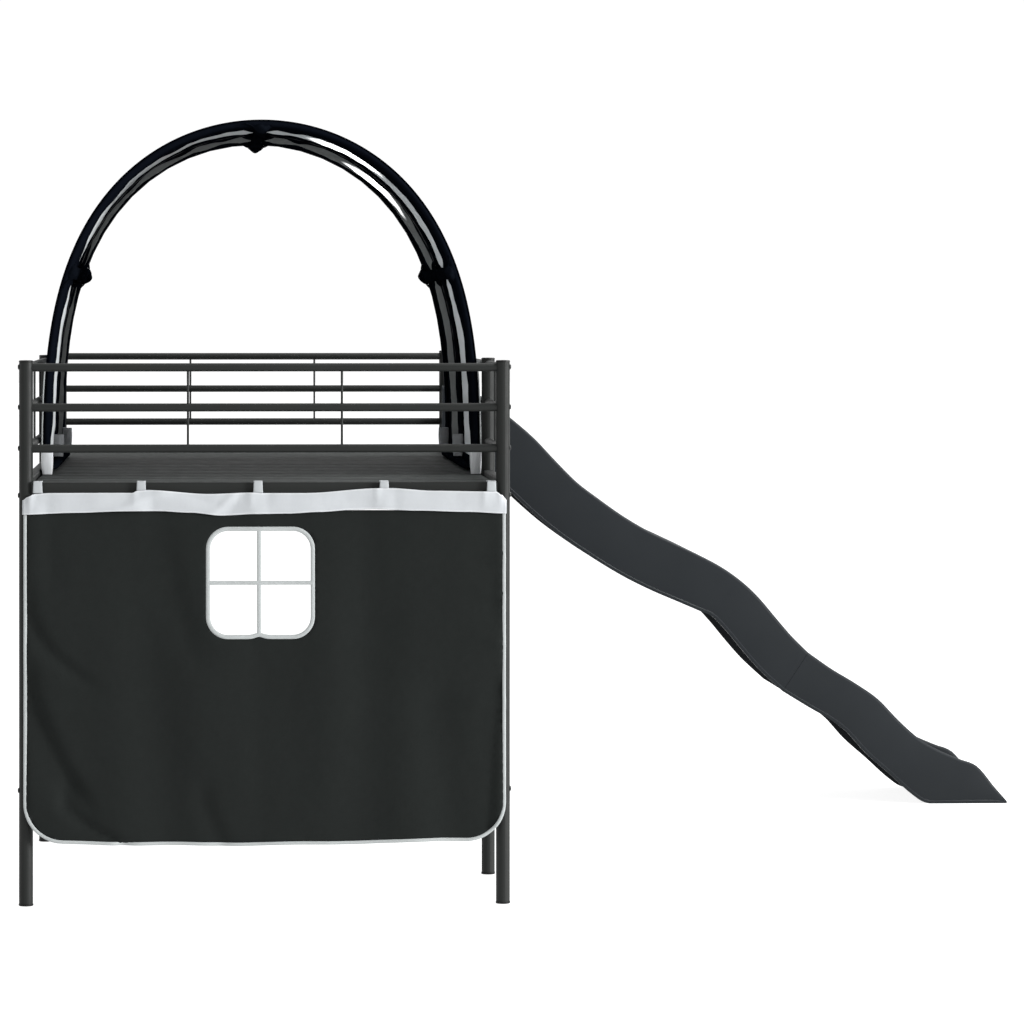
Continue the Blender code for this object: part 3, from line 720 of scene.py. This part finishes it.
def add_knot(name, distance, y):
    """A pulled knot of cloth tape: a creased lump with two short flat ends."""
    centre, inward = arch_at(distance, 0.0180)
    centre = place(centre.x, y, centre.z)
    along = Vector((0, 1, 0))
    tangent = inward.cross(along).normalized()
    meshes = []
    rows, sides, steps = [], 20, 22
    seed = 40 * distance + 7 * y
    for i in range(steps + 1):
        t = i / steps
        size = 0.0022 + 0.0092 * max(0.0, sin(pi * t)) ** 0.75
        middle = centre + tangent * (0.040 * (t - 0.5)) + inward * (0.0045 * sin(pi * t) - 0.0045)
        row = []
        for k in range(sides):
            turn = 2 * pi * k / sides
            crease = 1 + 0.16 * noise.noise(Vector((cos(turn) * 1.6 + seed, sin(turn) * 1.6, t * 5)))
            crease += 0.07 * sin(3 * turn + 9 * t)
            wide, high = 1.25 * size * crease, size * crease
            row.append(middle + along * (wide * cos(turn)) + inward * (high * sin(turn)))
        rows.append(row)
    lump = grid_mesh("lump", rows, closed=True)
    meshes.append(capped(lump))
    for turn in (-1, 1):
        tail = [
            centre + tangent * (turn * 0.010),
            centre - inward * 0.002 + tangent * (turn * 0.019) + along * (turn * 0.004),
            centre - inward * 0.006 + tangent * (turn * 0.027) + along * (turn * 0.009),
            centre - inward * 0.0085 + tangent * (turn * 0.036) + along * (turn * 0.013),
        ]
        path = smooth_path(tail, 5)
        outline = round_outline(0.0016, 0.0068, 10)
        meshes.append(swept_mesh("tail", path, outline, frames_along(path, inward)))
    make_piece(name, joined_mesh("knot", meshes), [STRAP], smooth=50)


# ---- curtain ------------------------------------------------------------------------------
LEFT, RIGHT = -0.4779, 0.4779
BOTTOM = 0.1312
CORNER = 0.075
TAB_CENTRES = (-0.4530, -0.2470, -0.0140, 0.2380, 0.4530)
WINDOW = (-0.1138, 0.0950, 0.5368, 0.7522)
BAR_X, BAR_Z = -0.0121, 0.6448


def crease_at(x, z, line, left, right):
    """Height of a soft fold that follows a line of (x, z) points down the cloth."""
    heights = [point[1] for point in line][::-1]
    across = [point[0] for point in line][::-1]
    if not heights[0] - 0.08 < z < heights[-1] + 0.08:
        return 0.0
    centre = float(np.interp(z, heights, across))
    if z < heights[0]:
        centre += (z - heights[0]) * (across[1] - across[0]) / (heights[1] - heights[0])
    near = min(1.0, (z - heights[0] + 0.08) / 0.08, (heights[-1] + 0.08 - z) / 0.08)
    share = (x - centre) / (left if x < centre else right)
    return near * near * (3 - 2 * near) * 2.718281828 ** (-share * share)


# Each fold: its line down the cloth, its reach to the left and right, and its height.
FOLDS = (
    (((-0.236, 0.780), (-0.230, 0.450), (-0.170, 0.150)), 0.075, 0.075, 0.0085),
    (((-0.010, 0.500), (-0.004, 0.300), (-0.002, 0.150)), 0.040, 0.080, 0.0075),
    (((0.212, 0.780), (0.205, 0.450), (0.172, 0.150)), 0.055, 0.075, 0.0085),
    (((0.340, 0.400), (0.360, 0.250), (0.368, 0.140)), 0.050, 0.050, 0.0070),
    (((-0.436, 0.790), (-0.430, 0.680)), 0.014, 0.032, 0.0075),
    (((-0.215, 0.760), (-0.185, 0.640), (-0.150, 0.520)), 0.030, 0.030, 0.0060),
    (((-0.474, 0.590), (-0.455, 0.545), (-0.425, 0.505), (-0.400, 0.485)), 0.026, 0.014, 0.0085),
    (((-0.474, 0.440), (-0.450, 0.370), (-0.412, 0.290), (-0.384, 0.245)), 0.050, 0.017, 0.0120),
    (((-0.400, 0.196), (-0.352, 0.158), (-0.310, 0.138)), 0.011, 0.020, 0.0100),
    (((-0.122, 0.205), (-0.095, 0.140)), 0.022, 0.018, 0.0060),
    (((0.452, 0.780), (0.462, 0.600)), 0.060, 0.010, 0.0055),
    (((0.466, 0.420), (0.456, 0.320), (0.448, 0.160)), 0.060, 0.012, 0.0100),
)
FOLD_LINE = 0.392


def fold(x, z):
    """How far the hanging cloth stands out from its flat plane, in metres."""
    t = max(0.0, min(1.0, (SEAM - z) / (SEAM - BOTTOM)))
    value = 0.0036 + 0.0125 * t ** 0.7
    value += (0.0006 + 0.0010 * t) * sin(2 * pi * (x / 0.143 + 0.35 - 0.16 * t))
    grown = 0.30 + 0.70 * min(1.0, t / 0.35)
    for line, left, right, height in FOLDS:
        value -= grown * height * crease_at(x, z, line, left, right)
    for centre in TAB_CENTRES:
        value += 0.0016 * (1 - t) ** 6 * bump_at(x, centre + 0.02 * t, 0.022)
    value += 0.0055 * bump_at(z, FOLD_LINE + 0.010, 0.013) * min(1.0, abs(x) / 0.42) ** 7
    for height, reach in ((0.690, 0.008), (0.612, 0.007), (0.520, 0.008)):
        value += 0.0050 * bump_at(z - 0.25 * (0.478 - x), height, reach) * bump_at(x, 0.478, 0.040)
    value += 0.0012 * noise.noise(Vector((x * 9, z * 5, 0.3)))
    settle = min(1.0, (x - LEFT) / 0.03 + 0.75, (RIGHT - x) / 0.03 + 0.75)
    return max(0.0002, value * settle)


def cloth_point(x, z, proud=0.0):
    return place(x, CURTAIN_FRONT + 0.0014 - fold(x, z) - proud, z)


def rounded(left, right, low, high, radii, steps):
    corners = (
        (left, low, 1, 1, pi), (right, low, -1, 1, 1.5 * pi),
        (right, high, -1, -1, 0.0), (left, high, 1, -1, 0.5 * pi),
    )
    points = []
    for (x, z, dx, dz, turn), radius in zip(corners, radii):
        if radius == 0:
            points.append((x, z))
            continue
        for i in range(steps + 1):
            angle = turn + 0.5 * pi * i / steps
            points.append((x + dx * radius + radius * cos(angle), z + dz * radius + radius * sin(angle)))
    return points


def dense(loop, spacing, closed=True):
    """The same outline with points no further apart than the spacing."""
    made = []
    count = len(loop)
    for i in range(count if closed else count - 1):
        (x0, z0), (x1, z1) = loop[i], loop[(i + 1) % count]
        steps = max(1, round(hypot(x1 - x0, z1 - z0) / spacing))
        for j in range(steps):
            made.append((x0 + (x1 - x0) * j / steps, z0 + (z1 - z0) * j / steps))
    if not closed:
        made.append(loop[-1])
    return made


def bottom_sag(x, z):
    """The lower hem dips a little between the corners and scallops slightly."""
    if z > BOTTOM + 0.02:
        return z
    reach = abs(x + 0.05) / 0.40
    dip = 0.0068 * (1 - reach ** 2) if reach < 1 else 0.0
    return z - dip + 0.0007 * sin(2 * pi * x / 0.23)


def window_edge(x, z):
    """The window's lower edge is drawn up a little under its upright bar."""
    if z > WINDOW[2] + 0.01:
        return z
    return z + 0.0045 * bump_at(x, BAR_X, 0.011)


def inside(point, loop):
    x, z = point
    found = False
    for (x0, z0), (x1, z1) in zip(loop, loop[1:] + loop[:1]):
        if (z0 > z) != (z1 > z) and x < (x1 - x0) * (z - z0) / (z1 - z0) + x0:
            found = not found
    return found


def add_curtain_cloth():
    top = SEAM + 0.0045
    outline = rounded(LEFT, RIGHT, BOTTOM, top, (CORNER, CORNER, 0, 0), 12)
    outline = [(x, bottom_sag(x, z)) for x, z in dense(outline, 0.010)]
    window = dense(rounded(*WINDOW, (0.040,) * 4, 10), 0.008)
    window = [(x, window_edge(x, z)) for x, z in window]
    points = outline + window
    edges = [(i, (i + 1) % len(outline)) for i in range(len(outline))]
    first = len(outline)
    edges += [(first + i, first + (i + 1) % len(window)) for i in range(len(window))]
    spacing = 0.0115
    z, row = BOTTOM + spacing / 2, 0
    while z < top - 0.004:
        x = LEFT + 0.006 + (spacing / 2 if row % 2 else 0.0)
        while x < RIGHT - 0.004:
            if inside((x, z), outline) and not inside((x, z), window):
                near = min(hypot(x - u, z - v) for u, v in points[:first:2] + window)
                if near > 0.006:
                    points.append((x, z))
            x += spacing
        z += spacing * 0.87
        row += 1
    flat, _, faces, *_ = geometry.delaunay_2d_cdt([Vector(p) for p in points], edges, [], 0, 1e-6)
    kept = []
    for face in faces:
        middle = (sum(flat[i].x for i in face) / 3, sum(flat[i].y for i in face) / 3)
        if inside(middle, outline) and not inside(middle, window):
            kept.append(tuple(face))
    mesh = mesh_of("curtain_cloth", [cloth_point(p.x, p.y) for p in flat], kept)
    mesh = recalculated(mesh)
    piece = make_piece("curtain_cloth", mesh, [CURTAIN_BLACK], body=None, smooth=80)
    thick = piece.modifiers.new("thickness", "SOLIDIFY")
    thick.thickness = 0.0012
    thick.offset = 0.0
    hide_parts("curtain_panel")
    return piece


def piping_mesh(name, loop, wide, high, proud, closed, sides=10):
    path = [cloth_point(x, z, proud) for x, z in loop]
    if closed:
        path.append(path[0].copy())
    facing = Vector((0, -1, 0))
    if closed:
        frames = frames_along(path[:-1], facing, True)
        frames.append(frames[0])
    else:
        frames = frames_along(path, facing)
    rows = []
    for point, (outward, side) in zip(path, frames):
        rows.append([point + side * u + outward * v for u, v in round_outline(wide, high, sides)])
    return recalculated(grid_mesh(name, rows, closed=True))


BAND_START = -0.4835
BAND_SPAN = 0.9663


def add_curtain_trim():
    """Light binding round the black cloth, and the window's frame and bars."""
    pieces = []
    outline = rounded(LEFT, RIGHT, BOTTOM, SEAM, (CORNER, CORNER, 0, 0), 14)
    first = outline.index((RIGHT, SEAM))
    loop = outline[first + 1:] + outline[:first + 1]
    loop = [(x, bottom_sag(x, z)) for x, z in dense(loop, 0.006, closed=False)]
    mesh = piping_mesh("binding", loop, 0.0034, 0.0016, 0.0006, False)
    pieces.append(make_piece("curtain_binding", mesh, [PIPING], body=None, smooth=50))
    ring = dense(rounded(*WINDOW, (0.040,) * 4, 12), 0.005)
    ring = [(x, window_edge(x, z)) for x, z in ring]
    meshes = [piping_mesh("window_ring", ring, 0.0043, 0.0016, 0.0006, True)]
    ends = (window_edge(BAR_X, WINDOW[2]), WINDOW[3])
    upright = dense([(BAR_X, ends[0]), (BAR_X, ends[1])], 0.006, closed=False)
    level = dense([(WINDOW[0], BAR_Z), (WINDOW[1], BAR_Z)], 0.006, closed=False)
    meshes.append(piping_mesh("window_upright", upright, 0.0042, 0.0011, 0.0004, False))
    meshes.append(piping_mesh("window_level", level, 0.0041, 0.0011, 0.0012, False))
    mesh = joined_mesh("window", meshes)
    window_frame = make_piece(
        "curtain_window_frame", mesh, [PIPING], body="curtain", smooth=50)
    pieces.append(window_frame)
    return pieces


BAND_TOP = (
    (-0.4835, 0.8096), (-0.4720, 0.8170), (-0.4600, 0.8225), (-0.4300, 0.8243), (-0.2640, 0.8245),
    (-0.2560, 0.8285), (-0.2350, 0.8300), (-0.1120, 0.8220), (-0.0240, 0.8248), (-0.0040, 0.8235),
    (0.0800, 0.8235), (0.2280, 0.8330), (0.2480, 0.8330), (0.3400, 0.8277), (0.4400, 0.8262),
    (0.4620, 0.8258), (0.4740, 0.8185), (0.4828, 0.8090),
)
BAND_LOW = (
    (-0.4835, 0.7815), (-0.3780, 0.7850), (-0.2800, 0.7880), (-0.2140, 0.7880), (-0.1500, 0.7850),
    (-0.0850, 0.7790), (-0.0190, 0.7820), (0.0450, 0.7828), (0.1100, 0.7860), (0.1750, 0.7898),
    (0.2210, 0.7910), (0.3050, 0.7882), (0.4030, 0.7855), (0.4828, 0.7822),
)


def eased(x, table):
    """Reads a table of (x, height) points with smooth steps between them."""
    for (x0, z0), (x1, z1) in zip(table, table[1:]):
        if x <= x1:
            share = max(0.0, (x - x0) / (x1 - x0))
            return z0 + (z1 - z0) * share * share * (3 - 2 * share)
    return table[-1][1]


def band_top(x):
    return eased(x, BAND_TOP)


def band_low(x):
    return eased(x, BAND_LOW)


def add_curtain_band():
    columns, rows_count = 240, 14
    rows = []
    for i in range(rows_count + 1):
        v = i / rows_count
        row = []
        for j in range(columns + 1):
            x = BAND_START + BAND_SPAN * j / columns
            z = band_low(x) + (band_top(x) - band_low(x)) * v
            out = 0.0028 + 0.0026 * sin(pi * v) * (0.6 + 0.4 * sin(2 * pi * x / 0.21))
            out += 0.0012 * noise.noise(Vector((x * 22, z * 18, 2.2))) + fold(x, SEAM) * (1 - v)
            for centre in TAB_CENTRES:
                out += 0.0022 * v * bump_at(x, centre - 0.014, 0.007)
                out -= 0.0010 * bump_at(x, centre + 0.02, 0.012)
            out += (0.0030 * bump_at(x, -0.300 + 0.10 * v, 0.030)
                    - 0.0014 * bump_at(x, -0.165 + 0.12 * (1 - v), 0.035))
            out += 0.0030 * v * bump_at(x, 0.4700, 0.004) + 0.0026 * v * bump_at(x, -0.4690, 0.005)
            out += (0.0022 * bump_at(x, -0.108 + 0.05 * v, 0.012)
                    - 0.0016 * bump_at(x, -0.075 + 0.03 * v, 0.015))
            row.append(place(x, CURTAIN_FRONT - 0.0004 - out, z))
        rows.append(row)
    # the first and last rows of the band get the painted highlight of the rounded hems
    mesh = grid_mesh("band", rows, band_of=lambda i, j: 1 if i in (0, rows_count - 1) else 0)
    mesh = recalculated(mesh)
    cloths = [CURTAIN_WHITE, HEM_PAINTED_HIGHLIGHT]
    band = make_piece("curtain_top_band", mesh, cloths, smooth=80)
    thick = band.modifiers.new("thickness", "SOLIDIFY")
    thick.thickness = 0.0014
    thick.offset = 0.0
    low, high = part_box("beam_front")
    beam_back = high.y - BED_Y
    tabs = []
    for x in TAB_CENTRES:
        front = CURTAIN_FRONT - 0.0022
        profile = [
            (front + 0.0012, 0.8240), (front + 0.0006, 0.8310), (front + 0.0004, 0.8440),
            (front + 0.0030, high.z + 0.0013), (front + 0.0120, high.z + 0.0014),
            (beam_back - 0.002, high.z + 0.0013), (beam_back + 0.0012, high.z - 0.001),
            (beam_back + 0.0014, 0.820), (beam_back + 0.0012, low.z + 0.001),
            (beam_back - 0.002, low.z - 0.0013), (-1.0300, low.z - 0.0014),
            (CURTAIN_FRONT + 0.0022, low.z - 0.0020),
        ]
        line = smooth_path([Vector((0, y, z)) for y, z in profile], 4)
        rows = []
        for k, point in enumerate(line):
            t = k / (len(line) - 1)
            wide = 0.00875 + 0.0012 * max(0.0, 1 - t * 6)
            row = []
            for j in range(9):
                u = 2 * j / 8 - 1
                crown = 0.0006 * (1 - u * u) * (1 if t < 0.3 else 0)
                row.append(place(x + u * wide, point.y - crown, point.z))
            rows.append(row)
        mesh = recalculated(grid_mesh("tab", rows))
        tabs.append(mesh)
    mesh = joined_mesh("tabs", tabs)
    loops = make_piece("curtain_tabs", mesh, [TAB_WHITE], smooth=50)
    thick = loops.modifiers.new("thickness", "SOLIDIFY")
    thick.thickness = 0.0012
    thick.offset = 0.0
    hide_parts("curtain_band")
    return band, loops


# ---- slide -----------------------------------------------------------------------------------
SLIDE_UPPER = (
    ((0.4680, 1.0020), (0.4680, 0.8525)),
    ((0.5000, 0.9975), (0.4890, 0.8525)),
    ((0.5450, 0.9815), (0.5060, 0.8370)),
    ((0.6000, 0.9415), (0.5480, 0.8073)),
    ((0.6670, 0.8849), (0.6070, 0.7583)),
    ((0.7170, 0.8324), (0.6600, 0.7082)),
    ((0.7710, 0.7778), (0.7130, 0.6629)),
    ((0.8210, 0.7394), (0.7680, 0.6227)),
    ((0.8810, 0.6967), (0.8270, 0.5835)),
    ((0.9410, 0.6608), (0.8910, 0.5459)),
    ((1.0010, 0.6322), (0.9560, 0.5139)),
    ((1.0620, 0.6030), (1.0200, 0.4866)),
    ((1.1220, 0.5711), (1.0680, 0.4660)),
    ((1.1720, 0.5356), (1.1000, 0.4517)),
    ((1.2130, 0.4968), (1.1360, 0.4145)),
    ((1.2530, 0.4496), (1.1710, 0.3721)),
    ((1.2930, 0.4033), (1.2150, 0.3222)),
    ((1.3320, 0.3648), (1.2700, 0.2715)),
)
SLIDE_LOWER = (
    ((1.3325, 0.3644), (1.2705, 0.2711)),
    ((1.3890, 0.3248), (1.3310, 0.2341)),
    ((1.4450, 0.2912), (1.3820, 0.2047)),
    ((1.5010, 0.2523), (1.4250, 0.1725)),
    ((1.5510, 0.2007), (1.4710, 0.1219)),
    ((1.6000, 0.1570), (1.5270, 0.0726)),
    ((1.6470, 0.1289), (1.5840, 0.0214)),
    ((1.6970, 0.1072), (1.6250, 0.0000)),
    ((1.7420, 0.0886), (1.7070, 0.0000)),
    ((1.7830, 0.0399), (1.7680, 0.0000)),
    ((1.8130, 0.0055), (1.8130, 0.0000)),
)


def slide_section(length, wide, rise):
    """Half of the trough's outline as (across, height) points, from the outer foot."""
    deck = min(rise, 0.62 * length)
    under = max(deck - 0.008, 0.18 * length)
    lip = min(0.0085, 0.3 * length)
    step = min(0.0022, 0.05 * length)
    wall = 0.015
    top = min(0.0065, 0.2 * length)
    half = [(0.0, 0.0), (0.0, lip - step), (step, lip), (step, length - top)]
    for i in range(1, 7):
        angle = pi - pi * i / 7
        half.append((step + (wall - step) / 2 * (1 + cos(angle)), length - top + top * sin(angle)))
    half.append((wall, length - top))
    curve = min(0.018, 0.3 * (length - deck))
    half.append((wall, deck + curve))
    for i in range(1, 5):
        angle = pi + 0.5 * pi * i / 4
        half.append((wall + curve + curve * cos(angle), deck + curve + curve * sin(angle)))
    under_half = [(wall + 0.006, under), (wall, max(under - 0.006, 0.1 * length)), (wall, 0.0)]
    middle = [(wide / 2, deck)]
    section = half + middle + [(wide - y, h) for y, h in half[::-1]]
    section += [(wide - y, h) for y, h in under_half[::-1]] + [(wide / 2, under)] + under_half
    return section


def add_slide():
    low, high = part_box("slide_upper")
    near, wide = low.y - BED_Y, high.y - low.y
    for name, pairs in (("slide_upper", SLIDE_UPPER), ("slide_lower", SLIDE_LOWER)):
        tops = smooth_path([Vector(t) for t, _ in pairs], 5)
        feet = smooth_path([Vector(f) for _, f in pairs], 5)
        rows = []
        for i, (top, foot) in enumerate(zip(tops, feet)):
            foot.y = max(foot.y, 0.0)
            length = (top - foot).length
            rise = 0.036
            if name == "slide_upper":
                rise = 0.020 + 0.016 * min(1.0, i / 25)
            row = []
            for across, height in slide_section(length, wide, rise):
                share = height / length
                x = foot.x + (top.x - foot.x) * share
                z = foot.y + (top.y - foot.y) * share
                row.append(place(x, near + across, z))
            rows.append(row)
        mesh = grid_mesh(name, rows, closed=True)
        bm = bmesh.new()
        bm.from_mesh(mesh)
        bmesh.ops.holes_fill(bm, edges=[e for e in bm.edges if e.is_boundary])
        bmesh.ops.triangulate(bm, faces=[f for f in bm.faces if len(f.verts) > 4])
        bmesh.ops.recalc_face_normals(bm, faces=bm.faces[:])
        bm.to_mesh(mesh)
        bm.free()
        piece = make_piece(f"{name}_moulding", mesh, [SLIDE], smooth=32)
        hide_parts(name)


# ---- studio --------------------------------------------------------------------------------
KEY_OFFSET, KEY_WATTS, KEY_SIZE = Vector((3.6, 0.6, 5.0)), 620, 2.2
SIDE_OFFSET, SIDE_WATTS, SIDE_SIZE = Vector((13.2, -7.2, 2.2)), 3600, 3.6
FLOOR_GLOW = 0.90            # lifts the floor to the white of a studio backdrop
WORLD_STRENGTH = 1.03
LENS_MM = 147.94
SHIFT_X, SHIFT_Y = 0.14237, -0.19625
CAMERA_PAN = -0.0383         # radians
CAMERA_SIDE, CAMERA_BACK, CAMERA_HEIGHT = -0.12, 8.4215, 1.187


def add_light(name, kind, where, target, energy, size, colour=(1, 1, 1)):
    data = bpy.data.lights.new(name, kind)
    data.energy = energy
    data.color = colour
    if kind == "AREA":
        data.shape = "RECTANGLE"
        data.size, data.size_y = size
    light = bpy.data.objects.new(name, data)
    bpy.context.scene.collection.objects.link(light)
    light.location = where
    aim = Vector(target) - Vector(where)
    light.rotation_euler = aim.to_track_quat("-Z", "Y").to_euler()
    return light


def add_studio():
    corners = [(-30, -30, 0), (30, -30, 0), (30, 60, 0), (-30, 60, 0)]
    floor_mesh = mesh_of("floor", corners, [(0, 1, 2, 3)])
    floor = bpy.data.objects.new("floor", floor_mesh)
    bpy.context.scene.collection.objects.link(floor)
    made, tree, shader = new_material("floor_paint", (0.5, 0.5, 0.5), 0.9, 0.1)
    vary_colour(tree, shader, noise_node(tree, 0.4, 3.0), (0.25, 0.25, 0.25), (0.27, 0.27, 0.27))
    shader.inputs["Emission Color"].default_value = (1.0, 1.0, 1.0, 1)
    shader.inputs["Emission Strength"].default_value = FLOOR_GLOW
    floor_mesh.materials.append(made)
    floor.location.z = -0.0005
    world = bpy.data.worlds.new("studio")
    bpy.context.scene.world = world
    world.use_nodes = True
    background = world.node_tree.nodes["Background"]
    background.inputs["Color"].default_value = (1.0, 1.0, 1.0, 1)
    background.inputs["Strength"].default_value = WORLD_STRENGTH
    middle = place(0, 0, 0.8)
    add_light("key", "AREA", middle + KEY_OFFSET, middle, KEY_WATTS, (KEY_SIZE, KEY_SIZE))
    add_light("side", "AREA", middle + SIDE_OFFSET, middle, SIDE_WATTS, (SIDE_SIZE, SIDE_SIZE))
    view = bpy.context.scene.view_settings
    view.view_transform = "Standard"
    view.look = "None"


def add_camera():
    data = bpy.data.cameras.new("camera")
    data.sensor_width = 36.0
    data.lens = LENS_MM
    data.shift_x = SHIFT_X
    data.shift_y = SHIFT_Y
    data.clip_end = 100
    camera = bpy.data.objects.new("camera", data)
    bpy.context.scene.collection.objects.link(camera)
    turn = Matrix.Rotation(CAMERA_PAN, 4, "Z") @ Matrix.Rotation(pi / 2, 4, "X")
    stand = place(CAMERA_SIDE, -HALF_LENGTH - CAMERA_BACK, CAMERA_HEIGHT)
    camera.matrix_world = Matrix.Translation(stand) @ turn
    bpy.context.scene.camera = camera


# ---- assembly --------------------------------------------------------------------------------
dress_frame()
add_screws()
tunnel = add_tunnel_cloth()
hems = add_hems()
tunnel_trim = add_tunnel_piping() + add_tunnel_tabs() + add_foot_rolls()
add_straps()
curtain = add_curtain_cloth()
binding, window_frame = add_curtain_trim()
band, tabs = add_curtain_band()
for cloth in (curtain, binding):
    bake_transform(cloth)
add_slide()
add_studio()
add_camera()
